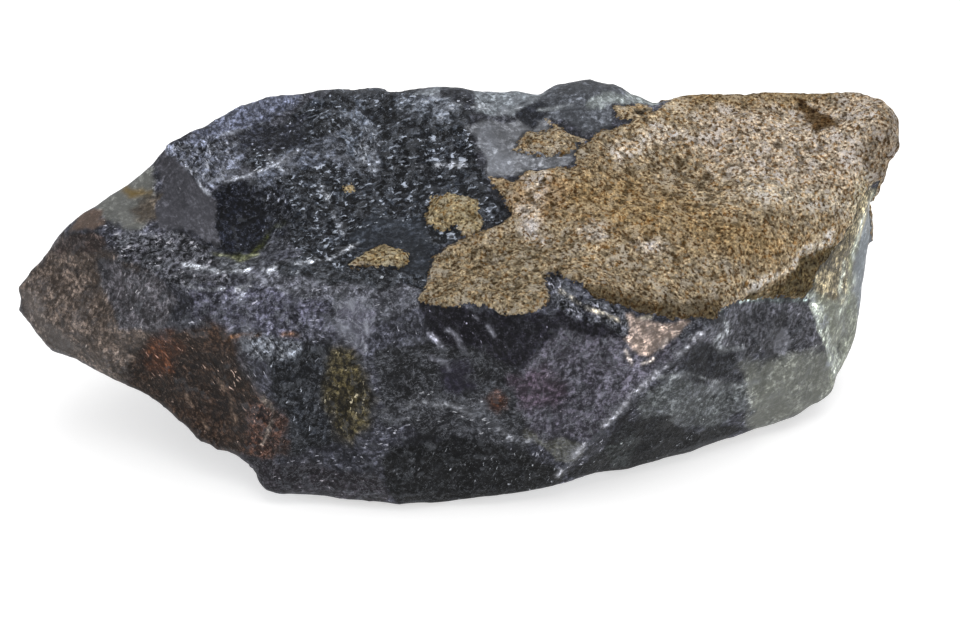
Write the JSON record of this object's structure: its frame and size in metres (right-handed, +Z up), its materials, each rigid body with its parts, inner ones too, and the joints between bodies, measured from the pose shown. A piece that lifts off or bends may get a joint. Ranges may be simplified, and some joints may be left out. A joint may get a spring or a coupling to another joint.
{
  "type": "flint nodule",
  "caption": "Broken lump of dark flint with a tan sandy rind on its upper right; lies on a small flat spot.",
  "frame": {"origin": "on the ground, under the middle of the stone's bounding box", "axes": "+X along the long axis towards the rind-covered blunt end, +Y away from the broken front face, +Z up"},
  "size_m": [0.157, 0.0804, 0.057],
  "materials": {
    "flint": "broken, waxy to dull, with a matte sandy rind"
  },
  "bodies": {
    "root": {"flint_nodule": "flint"}
  },
  "joints": []
}
